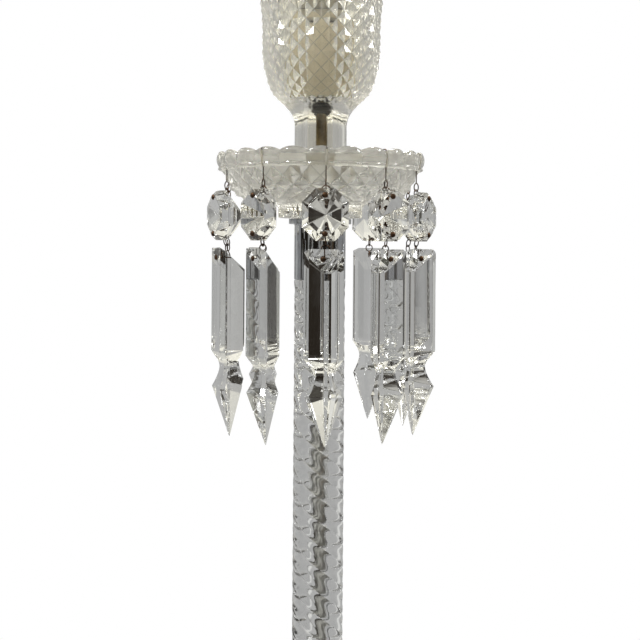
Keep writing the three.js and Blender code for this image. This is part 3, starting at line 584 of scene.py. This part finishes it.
def makePan():
    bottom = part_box("drip_pan")[0][2] / mm
    shell = Shell()
    fluteAngle, fine = circle(2 * pan["flutes"]), circle(8 * pan["scallops"])

    # Collar: flutes in zigzag, each ridge ending in a small tooth that stands out under the bowl
    groove = np.arange(2 * pan["flutes"]) % 2
    collar = pan["collarRadius"] - pan["fluteDepth"] * groove
    collarTop = bottom + pan["collarHeight"]
    out, up = pan["tooth"]
    foot = [ringPoints(collar + reach, bottom + level, fluteAngle) for reach, level in pan["collarFoot"]]
    teeth = ringPoints(collar + out * (1 - groove), collarTop + up * (1 - groove), fluteAngle)
    # the flute bottoms carry the groove mark, which the material paints grey as shade
    bore = shell.rows([ringPoints(pan["bore"], bottom, fluteAngle), *foot, teeth], groove)
    shell.quads(bore, False)

    underside = np.array(pan["underside"], float) + [0, bottom]
    rows, outward = diamondRows(underside, pan["diamonds"], pan["tallness"])
    cutRows = diamondCut(shell, rows, outward, pan["diamonds"], pan["depthShare"])
    middle = (collar.max() + underside[0, 0]) / 2
    between = shell.rows([ringPoints(middle, collarTop + pan["aboveTooth"], fine)])[0]
    shell.stitch(bore[-1], between)
    shell.stitch(between, cutRows[0])

    # Rim and dish: over each scallop t goes from -1 to 1, and radius and height fall by t squared
    t = partShare(fine, pan["scallops"])
    rim = throughPoints(pan["rim"], pan["rimRows"])
    dish = throughPoints(pan["dish"], pan["dishRows"])[1:]
    profile = np.concatenate([rim, dish, [pan["seat"]]])
    edge = eased(ramp(profile[:, :1], *pan["lobeRadii"]))
    lift = ramp(profile[:, 1:], *pan["lobeHeights"])
    radius = profile[:, :1] - pan["scallopDepth"] * edge * t ** 2
    height = bottom + profile[:, 1:] - pan["rimDrop"] * edge * lift * t ** 2
    inside = (np.arange(len(profile)) > len(rim) - pan["roughOverlap"])[:, None]
    shadedNotch = (edge > pan["notchFrom"][0]) * (np.abs(t) > pan["notchFrom"][1])
    # the notch goes in as a groove mark, painted grey as shade
    body = shell.rows(ringPoints(radius, height, fine), shadedNotch, pan["insideRough"] * inside)
    shell.quads(body)
    shell.stitch(cutRows[-1], body[0])
    seat = shell.rows([ringPoints(pan["bore"], bottom + pan["seat"][1], fluteAngle)])
    shell.stitch(body[-1], seat[0], True)
    shell.quads(np.stack([seat[0], bore[0]]))

    ring = ringPoints(pan["holeRadius"], 0, -circle(pan["holeSides"]))
    for joint in joints.values():
        if joint["parent"] == "lamp":
            ends = [np.array([*joint["pos_m"][:2], (bottom + level) * mm]) for level in pan["hole"]]
            shell.capped([ring + end for end in ends], *ends, pan["holeRough"])
    addPiece("dripPan", shell, 32, warmCrystal, "crystal", replaced=["drip_pan"])


makePan()
print("drip pan made")


# Twisted column: each rib has two rounded shoulders with a hollow between, t from -1 to 1 over a rib, and
# falls to a sharp groove at its edges. The ribs wind left-handed, and run out in a short plain end.
column = {"ribs": 5, "columnsPerRib": 24, "pitch": 92.4, "hollow": 0.55, "groove": 0.5, "inset": 0.05,
          "plainEnd": 3, "lead": 0.6, "corner": 0.5, "fade": 3, "bore": 6.4, "rowStep": 1.3}


def makeColumn():
    bottom, top, radius = spanOf("column")
    angle = circle(column["ribs"] * column["columnsPerRib"])
    height = np.arange(bottom + column["plainEnd"], top - column["plainEnd"], column["rowStep"])
    fade = ramp(np.minimum(height - height[0], height[-1] - height), 0, column["fade"])[:, None]
    t = partShare(angle, column["ribs"], 0)
    fall = column["hollow"] * (1 - 4 * (t ** 2 - t ** 4)) + column["groove"] * t ** 2
    turn = -2 * np.pi * (height - bottom) / column["pitch"]
    end = [(column["bore"], 0), (radius - column["corner"], 0), (radius, column["corner"]),
           (radius, column["plainEnd"] - column["lead"])]
    shell = Shell()
    shell.loop(np.concatenate([
        [ringPoints(size, bottom + up, angle + turn[0]) for size, up in end],
        ringPoints(radius - column["inset"] - fade * fall, height[:, None], angle + turn[:, None]),
        [ringPoints(size, top - down, angle + turn[-1]) for size, down in reversed(end)],
    ]))
    addPiece("twistedColumn", shell, 26, clearCrystal, "crystal", replaced=["column"])


makeColumn()
print("column made")


# Foot: a dome whose ribs swirl out from the column to a scalloped edge, over a round recess. Heights are in
# mm above its underside, and its rim is given as inwards from the edge and up.
foot = {"ribs": 12, "columnsPerRib": 16, "ribShare": 0.045, "swirl": 50, "edgeHeight": 7, "topRadius": 25.4,
        "topEdge": 0.6, "bore": 5.3, "recess": [(5.3, 16), (23.5, 16), (24, 15.5), (24, 0.5), (24.5, 0)],
        "rim": [(3, 0), (0.9, 0.9), (0, 3)],
        # shares of the radius and of the height above the edge
        "dome": [(1, 0), (0.965, 0.05), (0.9, 0.2), (0.74, 0.3), (0.54, 0.44), (0.37, 0.62), (0.285, 0.84),
                 (0.267, 1)], "domeRows": 60}


def makeFoot():
    bottom, top, radius = spanOf("foot")
    edgeTop = bottom + foot["edgeHeight"]
    angle = circle(foot["ribs"] * foot["columnsPerRib"])
    dome = throughPoints(np.array(foot["dome"]) * [radius, top - edgeTop], foot["domeRows"]) + [0, edgeTop]
    rise = ramp(dome[:, 1:], dome[0, 1], dome[-1, 1])
    zone = ramp(dome[:, :1], foot["topRadius"], (foot["topRadius"] + radius) / 2)
    t = partShare(angle, foot["ribs"])
    depth = foot["ribShare"] * dome[:, :1] * eased(zone)
    edge = radius - depth[0] * t ** 2
    under = foot["recess"] + [(edge - inwards, up) for inwards, up in foot["rim"]]
    swirl = math.radians(foot["swirl"])
    shell = Shell()
    shell.loop(np.concatenate([
        [ringPoints(size, bottom + up, angle) for size, up in under],
        ringPoints(dome[:, :1] - depth * t ** 2, dome[:, 1:], angle + swirl * rise),
        [ringPoints(foot["topRadius"] - foot["topEdge"], top, angle + swirl),
         ringPoints(foot["bore"], top, angle + swirl)],
    ]))
    addPiece("domedFoot", shell, 32, warmCrystal, "crystal", replaced=["foot"])


makeFoot()
print("foot made")


# Turned metal and the lamp fittings, each in the place of its node
ferrule = {"wall": 1.8, "lipWidth": 4.5, "lip": 2, "flange": 4.4, "fillet": 0.9}
fittings = {"bore": 5.3, "tubeBore": 3.2, "threadPitch": 1.0, "threadDepth": 0.55, "threadEnds": (2, 0.5),
            "gasketBore": 12, "collarRadius": 6.6, "nutHeight": 4.8, "socketRadius": 7.6, "socketDepth": 32,
            "sleeveWall": 1.8, "sleeveTop": 15.5, "capContact": 4, "capContactHeight": 3}
bulbShape = [(0, 0), (8.1, 0), (8.8, 6), (10.2, 14), (13.4, 22), (16.6, 29), (17.5, 35), (16.9, 44),
             (14.2, 54), (10, 64), (5.4, 73), (2.2, 78), (0, 80)]


def turnedFerrule(node, flipped):
    bottom, top, flangeRadius = spanOf(node)
    tube = spanOf("column")[2]
    height = top - bottom
    plate = height - ferrule["flange"]
    fillet, bore, lip = ferrule["fillet"], fittings["bore"], ferrule["lip"]
    wall, lipRadius = tube - ferrule["wall"], tube - ferrule["lipWidth"]
    outline = [(lipRadius, 0), (tube, 0), (tube, plate - fillet), (tube + fillet, plate),
               (flangeRadius, plate), (flangeRadius, height), (bore, height), (bore, plate),
               (wall, plate), (wall, lip), (lipRadius, lip)]
    if flipped:
        outline = [(radius, height - level) for radius, level in reversed(outline)]
    turned(node, np.array(outline) + [0, bottom], nickel, "nickel", 128, 0.7)


# Thread rings only where the shade's neck is clear, from its heel to the nut
def threadOutline():
    bottom, top, radius = spanOf("threaded_tube")
    bore, pitch, low, high = fittings["tubeBore"], fittings["threadPitch"], *fittings["threadEnds"]
    crests = np.arange(spanOf("shade")[0] + low, spanOf("neck_nut")[0] - high, pitch)
    root = radius - fittings["threadDepth"]
    thread = [point for level in crests for point in [(radius, level), (root, level + pitch / 2)]]
    return [(bore, bottom), (radius, bottom), *thread, (radius, top), (bore, top)]


def turnedRing(node, inner, *look, **more):
    bottom, top, radius = spanOf(node)
    turned(node, [(inner, bottom), (radius, bottom), (radius, top), (inner, top)], *look, **more)


def makeFittings():
    bore = fittings["bore"]
    turnedFerrule("upper_ferrule", False)
    turnedFerrule("lower_collar", True)
    turned("threaded_tube", threadOutline(), bronzeTube, "bronze_tube", 48, 0.05, steps=1)

    bottom, top, radius = spanOf("neck_nut")
    collar, middle = fittings["collarRadius"], top - fittings["nutHeight"]
    nut = [(bore, bottom), (collar, bottom), (collar, middle), (radius, middle), (radius, top), (bore, top)]
    turned("neck_nut", nut, darkMetal, "dark_metal", 64)
    turnedRing("clamp_disc", bore, nickel, "nickel")
    turnedRing("shade_gasket", fittings["gasketBore"], gasketFinish, "clear_gasket")
    turnedRing("foot_gasket", bore, gasketFinish, "clear_gasket", rounding=0.3)
    turnedRing("felt_pad", 0, feltFinish, "felt", 128, closed=False)

    bottom, top, radius = spanOf("lamp_holder")
    socket, ledge = fittings["socketRadius"], top - fittings["socketDepth"]
    holder = [(bore, bottom), (radius, bottom), (radius, top), (socket, top), (socket, ledge), (bore, ledge)]
    turned("lamp_holder", holder, phenolic, "black_phenolic", 64, 0.6)

    bottom, top, radius = spanOf("candle_sleeve")
    wall, rim = fittings["sleeveWall"], fittings["sleeveTop"]
    sleeve = [(radius - wall, bottom), (radius, bottom), (rim, top), (rim - wall, top)]
    turned("candle_sleeve", sleeve, sleeveFinish, "candle_sleeve", rounding=0.5)

    bottom, top, radius = spanOf("bulb_cap")
    contact, shoulder = fittings["capContact"], bottom + fittings["capContactHeight"]
    cap = [(0, bottom), (contact, bottom), (radius, shoulder), (radius, top), (0, top)]
    turned("bulb_cap", cap, nickel, "nickel", 64, closed=False)
    bulb = throughPoints(np.array(bulbShape) + [0, spanOf("bulb")[0]], 40)
    turned("bulb", bulb, frosted, "bulb_glass", 64, 0, steps=1, closed=False)

    for node in ("cord_bushing", "base_washer", "base_nut"):
        materials = nodes[node].data.materials
        materials.clear()
        materials.append(nickel)


makeFittings()
print("fittings made")


# Strands: link heights and places come from the joints. Lengths in mm, with -Y away from the column.
wire = {"radius": 0.45, "sides": 8, "gap": 0.3, "headRadius": 2.15, "headHeight": 1.1, "headSunk": 0.5,
        "sunkEnd": 0.3, "ring": (6.2, 5.6), "eye": (3.3, 6.2), "tail": 3.4, "tailEnd": (0.6, 1.4),
        "sunk": 1.7, "bend": 1.2}
bead = {"width": 34, "height": 38.4, "corner": 10, "tableInset": 5, "crown": 5.5, "girdle": 2,
        "pavilion": 18.5, "set": 4, "tier": (7.6, 8.3), "topDrop": 2.1, "pinInset": 5.2,
        "lowerPinInset": 5.1, "edge": 0.18,
        "turns": [-6, -14, -18, -5, 12, 0, 6, -5, 7, -8]}
pendant = {"width": 30, "depth": 22.0, "bevel": 4.5, "bevelDepth": 3, "ridge": 1.9, "slope": 18, "bar": 80,
           "barStep": 1.2, "length": 147, "neck": 92.4, "head": 107.5, "holeDepth": 7.4, "topDrop": 2.8,
           "faceY": -8.44, "centreShare": 0.54, "barShare": 0.96, "neckShare": 0.55, "headShare": 0.95,
           "pinBehind": 1.1, "headInset": 0.1, "edge": 0.2,
           "turns": [-14.5, -13, -49.4, -10.3, 20.9, 7.9, 31, 13.2, 2.1, -25.1]}


# Wire along a path: a ring round each point, in the plane of side and across, where side is the path's
# direction crossed with the normal of the path's own plane
def sweep(shell, path, normal, closed=False):
    path = np.asarray(path, float)
    if closed:
        along = unit(np.roll(path, -1, 0) - np.roll(path, 1, 0))
    else:
        along = unit(np.gradient(path, axis=0))
    side = unit(np.cross(along, normal))
    across = np.cross(side, along)
    angle = circle(wire["sides"])[None, :, None]
    around = np.cos(angle) * side[:, None] - np.sin(angle) * across[:, None]
    points = path[:, None] + wire["radius"] * around
    if closed:
        shell.loop(points)
    else:
        shell.capped(points, path[0], path[-1])


# Closed loop of wire whose ends are low and high
def eye(shell, low, high, width, across, steps=24):
    low, high, across = np.array(low, float), np.array(high, float), np.array(across, float)
    angle = circle(steps)[:, None]
    path = (low + high) / 2 + np.cos(angle) * across * width / 2 + np.sin(angle) * (high - low) / 2
    sweep(shell, path, unit(np.cross(across, high - low)), True)


# Straight runs of wire through points in the strand's plane, each bend rounded
def rod(shell, *points, steps=5):
    sweep(shell, rounded(points, wire["bend"], steps, False)[steps:-steps], (1, 0, 0))


# Domed pin head: rings of radius R cos a at height H sin a, from a little below its face
def pinHead(shell, height, face):
    a = np.linspace(0, np.pi / 2, 6)[:-1, None]
    around = circle(14)
    radius, out = wire["headRadius"] * np.cos(a), wire["headHeight"] * np.sin(a)
    rings = np.stack([radius * np.cos(around), face - out + 0 * around, height + radius * np.sin(around)], -1)
    shell.capped(np.concatenate([rings[:1] + [0, wire["headSunk"], 0], rings]),
                 (0, face + wire["headSunk"], height), (0, face - wire["headHeight"], height))


# Height between the middles of two linked wires' nearest runs
offset = 2 * wire["radius"] + wire["gap"]


def hookShell(tail):
    shell = Shell()
    eyeWidth, eyeHeight = wire["eye"]
    eyeTop = eyeHeight - offset
    eye(shell, (0, 0, -offset), (0, 0, eyeTop), eyeWidth, (0, 1, 0))
    onwards, down = wire["tailEnd"]
    rod(shell, (0, 0, eyeTop - wire["radius"]), (0, 0, tail), (0, wire["tail"], tail),
        (0, wire["tail"] + onwards, tail - down))
    return shell


def beadPins(span):
    shell = Shell()
    face = -bead["crown"] - bead["girdle"] - bead["set"]
    slope = 2 * bead["pavilion"] / bead["height"]
    behind = 2 * wire["radius"] - bead["set"]
    top, bottom = -bead["topDrop"], -bead["topDrop"] - bead["height"]
    # edge of the bead, link, way out along Z, the eye's plane and size, and the pin's inset from the edge
    pins = [(top, 0, 1, (1, 0, 0), wire["ring"], bead["pinInset"]),
            (bottom, -span - offset, -1, (0, 1, 0), wire["eye"], bead["lowerPinInset"])]
    for edge, link, way, across, (width, height), inset in pins:
        hole = edge - way * inset
        far = (0, slope * (height - abs(edge - link)) + behind, link - way * height)
        rod(shell, (0, face + wire["sunkEnd"], hole), (0, slope * inset + behind, hole), far)
        eye(shell, far, (0, 0, link), width, across)
        pinHead(shell, hole, face)
    return shell


def octagon(inset, y, middle):
    w, h = bead["width"] / 2 - inset, bead["height"] / 2 - inset
    c = bead["corner"] - inset / 2
    corners = [(w - c, h), (w, h - c), (w, c - h), (w - c, -h),
               (c - w, -h), (-w, c - h), (-w, h - c), (c - w, h)]
    return np.array([(x, y, middle + z) for x, z in corners])


def beadGlass():
    middle = -bead["topDrop"] - bead["height"] / 2
    shell = Shell()
    tierInset, tierDepth = bead["tier"]
    grid = shell.rows([
        octagon(bead["tableInset"], -bead["crown"] - bead["girdle"] - bead["set"], middle),
        octagon(0, -bead["girdle"] - bead["set"], middle),
        octagon(0, -bead["set"], middle),
        octagon(tierInset, tierDepth - bead["set"], middle),
    ])
    shell.quads(grid, False)
    shell.addFaces(grid[:1, ::-1], False)
    shell.tip(grid[-1], (0, bead["pavilion"] - bead["set"], middle))
    return shell


# Prism's section, with a flat face outwards, bevelled sides and a narrow ridge inwards, scaled about its
# centre. Its height is even, or falls inwards by slope.
def prismSection(scale, level, slope=0.0):
    face, depth, half = pendant["faceY"], pendant["depth"], pendant["width"] / 2
    flat, side, ridge = half - pendant["bevel"], face + pendant["bevelDepth"], pendant["ridge"]
    centre = face + depth * pendant["centreShare"]
    x, y = np.array([(flat, face), (half, side), (ridge, face + depth),
                     (-ridge, face + depth), (-half, side), (-flat, face)]).T
    return np.stack([x * scale, centre + (y - centre) * scale, level - slope * (y - face) / depth], -1)


def prismGlass():
    top = -pendant["topDrop"]
    # Notch: the scale falls from the bar to the neck as a quarter wave and rises to the head as a power
    share = np.linspace(0, 1, 7)[1:]
    barEnd, neck, head = pendant["bar"] + pendant["barStep"], pendant["neck"], pendant["head"]
    first, narrow, last = pendant["barShare"], pendant["neckShare"], pendant["headShare"]
    scales = np.append(first - (first - narrow) * np.sin(share * np.pi / 2),
                       narrow + (last - narrow) * share ** 1.5)
    drops = np.append(barEnd + (neck - barEnd) * share, neck + (head - neck) * share)
    shell = Shell()
    grid = shell.rows([prismSection(1, top, pendant["slope"]), prismSection(1, top - pendant["bar"]),
                       *(prismSection(scale, top - drop) for scale, drop in zip(scales, drops))])
    shell.quads(grid[::-1], False)
    shell.addFaces(grid[:1], False)
    centre = pendant["faceY"] + pendant["depth"] * pendant["centreShare"]
    shell.tip(grid[-1], (0, centre, top - pendant["length"]), above=False)
    return shell


def prismPin():
    shell = Shell()
    face, inset = pendant["faceY"], pendant["holeDepth"]
    hole = -pendant["topDrop"] - inset
    back = face + pendant["depth"] * inset / pendant["slope"] + pendant["pinBehind"]
    rod(shell, (0, face + wire["sunkEnd"], hole), (0, back, hole), (0, 0, -wire["ring"][1]))
    pinHead(shell, hole, face - pendant["headInset"])
    return shell


def turnedZ(points, angle):
    x, y, z = points[..., 0], points[..., 1], points[..., 2]
    cos, sin = math.cos(angle), math.sin(angle)
    return np.stack([x * cos - y * sin, x * sin + y * cos, z], -1)


def hang(shell, name, joint, turn, body, node=None, cutEdge=0.0, ring=None):
    # turns the shell by its own angle, adds a ring that keeps square to the strand, and puts both at the
    # joint. What has a cut edge is crystal, and the rest is wire.
    x, y, z = joint["pos_m"]
    strandTurn = math.atan2(x, -y)
    shell.move(lambda points: turnedZ(points, math.radians(turn)))
    if ring:
        eye(shell, *ring)
    shell.move(lambda points: turnedZ(points * mm, strandTurn) + [x, y, z])
    look = (None, clearCrystal, "crystal") if cutEdge else (40, brownWire, "bronze_wire")
    piece = addPiece(name, shell, *look, body, [node] if node else ())
    if cutEdge:
        edge = piece.modifiers.new("edges", "BEVEL")
        edge.width, edge.segments = cutEdge * mm, 2
        edge.limit_method, edge.angle_limit = "ANGLE", math.radians(12)


def makeStrands():
    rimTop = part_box("drip_pan")[1][2]
    ring = ((0, 0, -wire["ring"][1]), (0, 0, 0), wire["ring"][0], (1, 0, 0))
    for number, (beadTurn, prismTurn) in enumerate(zip(bead["turns"], pendant["turns"]), 1):
        upper, lower = joints[f"bead_{number}_swing"], joints[f"pendant_{number}_swing"]
        beadBody, prismBody = f"bead_{number}", f"pendant_{number}"
        link = upper["pos_m"][2]
        span = (link - lower["pos_m"][2]) / mm
        tail = (rimTop - link) / mm + wire["gap"] + wire["radius"] - wire["sunk"]
        hang(hookShell(tail), f"rimHook{number}", upper, 0, "lamp", f"rim_hook_{number}")
        hang(beadGlass(), f"beadGlass{number}", upper, beadTurn, beadBody, beadBody, bead["edge"])
        hang(beadPins(span), f"beadPins{number}", upper, beadTurn, beadBody)
        hang(prismPin(), f"prismPin{number}", lower, prismTurn, prismBody, f"pendant_pin_{number}", ring=ring)
        hang(prismGlass(), f"prismGlass{number}", lower, prismTurn, prismBody, prismBody, pendant["edge"])


makeStrands()
print("strands made")


# Studio: pale floor and white surroundings. Metal and glass see a grey tent on the lamp's far side, a dark
# room with light strips on the camera's side, and a bright warm ceiling. Each pair of radii, angles or
# distances says where one thing ends and the next has taken over.
studio = {
    "floorSize": 12.0, "floorColour": colour(0.8, 0.8, 0.79), "floorMottle": colour(0.83, 0.83, 0.82),
    "mottleScale": 30.0, "floorRough": 0.8,
    "shadowEdge": (0.17, 0.26), "worldStrength": 0.75,
    "tent": colour(0.42, 0.42, 0.415), "tentEdge": (-84, 92), "tentSoft": 2,
    "room": colour(0.02, 0.016, 0.012),
    "ceiling": colour(1.0, 0.97, 0.85), "ceilingFrom": (10, 38),
    "table": colour(0.42, 0.42, 0.41), "tableEdge": (0.13, 0.2), "glowShare": 0.8,
    # centre azimuth from the lamp's far side towards +X, half width and softness in degrees, and colour
    "strips": [(-105, 2, 1, colour(0.5, 0.5, 0.48)), (-136, 11, 2, colour(0.5, 0.49, 0.46)),
               (178, 8, 2, colour(0.5, 0.49, 0.45)), (125, 8, 2, colour(0.12, 0.09, 0.06)),
               (-49, 5, 2, colour(0.7, 0.7, 0.68))],
    # the same for what lies on the near ground, up to these distances
    "nearStrips": [(-179, 30, 3, colour(0.42, 0.41, 0.38)), (-49, 5, 2, colour(0.7, 0.7, 0.68))],
    "nearGround": (1.0, 1.8),
}
white = colour(1, 1, 1)
fullTurn = 360.0
inDegrees = 180 / math.pi


# Whether a ray comes from the camera, and whether metal or glass sends it on
def rays(shader):
    path = shader.add("ShaderNodeLightPath")
    return path["Is Camera Ray"], path["Is Glossy Ray"].math("MAXIMUM", path["Is Transmission Ray"])


def surroundings(shader, azimuth, strips):
    (left, right), soft = studio["tentEdge"], studio["tentSoft"]
    inTent = azimuth.within(left - soft, left + soft) * azimuth.within(right + soft, right - soft)
    seen = shader.blend(inTent, studio["room"], studio["tent"])
    for centre, halfWidth, soft, light in strips:
        # degrees from the strip's centre, from -180 to 180
        turn = (azimuth - (centre - 1.5 * fullTurn)).math("MODULO", fullTurn) - fullTurn / 2
        seen = shader.blend(turn.math("ABSOLUTE").within(halfWidth + soft, halfWidth - soft), seen, light)
    return seen


def makeFloor():
    half = studio["floorSize"] / 2
    mesh = bpy.data.meshes.new("floor")
    corners = [(-half, -half, 0), (half, -half, 0), (half, half, 0), (-half, half, 0)]
    mesh.from_pydata(corners, [], [(0, 1, 2, 3)])
    floor = newObject("floor", mesh)
    material, shader, place = newMaterial("floor")
    x, y, _ = shader.axes(place)
    distance = (x * x + y * y).math("SQRT")
    azimuth = x.math("ARCTAN2", y) * inDegrees
    mottle = shader.noise(place, studio["mottleScale"])
    matte = shader.principled({
        "Base Color": shader.blend(mottle, studio["floorColour"], studio["floorMottle"]),
        "Roughness": studio["floorRough"]})
    blank = shader.add("ShaderNodeEmission", None, {"Color": white, "Strength": 1.0})
    near, far = (surroundings(shader, azimuth, studio[strips]) for strips in ("nearStrips", "strips"))
    ground = shader.blend(distance.within(*studio["nearGround"]), near, far)
    beyond = distance.within(*studio["tableEdge"])
    glow = shader.principled({
        "Base Color": colour(0, 0, 0), "Specular IOR Level": 0.0, "Emission Strength": 1.0,
        "Emission Color": shader.blend(beyond, studio["table"], ground)})
    glowShare = studio["glowShare"] + beyond * (1 - studio["glowShare"])
    seen, through = rays(shader)
    direct = shader.mix(seen * distance.within(*studio["shadowEdge"]), matte, blank)
    shader.finish(shader.mix(through * glowShare, direct, glow))
    mesh.materials.append(material)


def makeWorld():
    world = bpy.data.worlds.new("studio")
    bpy.context.scene.world = world
    shader = Shader(world)
    x, y, z = shader.axes(shader.add("ShaderNodeTexCoord")["Generated"])
    azimuth = x.math("ARCTAN2", y) * inDegrees
    elevation = z.math("ARCSINE") * inDegrees
    room = surroundings(shader, azimuth, studio["strips"])
    room = shader.blend(elevation.within(*studio["ceilingFrom"]), room, studio["ceiling"])
    lighting, blank, tent = (
        shader.add("ShaderNodeBackground", None, {"Color": light, "Strength": strength})
        for light, strength in [(white, studio["worldStrength"]), (white, 1.0), (room, 1.0)])
    seen, through = rays(shader)
    shader.finish(shader.mix(through, shader.mix(seen, lighting, blank), tent), "ShaderNodeOutputWorld")


# Soft lights: place, size and strength in watts, each turned to the lamp's middle
lights = {"key": {"place": (-1.2, -0.6, 1.6), "size": 0.36, "watts": 14},
          "fill": {"place": (1.3, -0.1, 1.2), "size": 0.36, "watts": 7},
          "rear": {"place": (0.25, 0.75, 1.75), "size": 0.4, "watts": 12}}
lampMiddle = np.array([0, 0, 0.4])


def makeLights():
    for name, light in lights.items():
        lamp = bpy.data.lights.new(name, "AREA")
        lamp.size, lamp.energy = light["size"], light["watts"]
        holder = newObject(name, lamp)
        holder.location = light["place"]
        x, y, z = lampMiddle - light["place"]
        holder.rotation_euler = (math.atan2(math.hypot(x, y), -z), 0, math.atan2(-x, y))


makeFloor()
makeWorld()
makeLights()
scene = bpy.context.scene
scene.view_settings.view_transform = "Standard"
scene.cycles.max_bounces = 32
scene.cycles.glossy_bounces = 20
scene.cycles.transmission_bounces = 28
print("studio made")
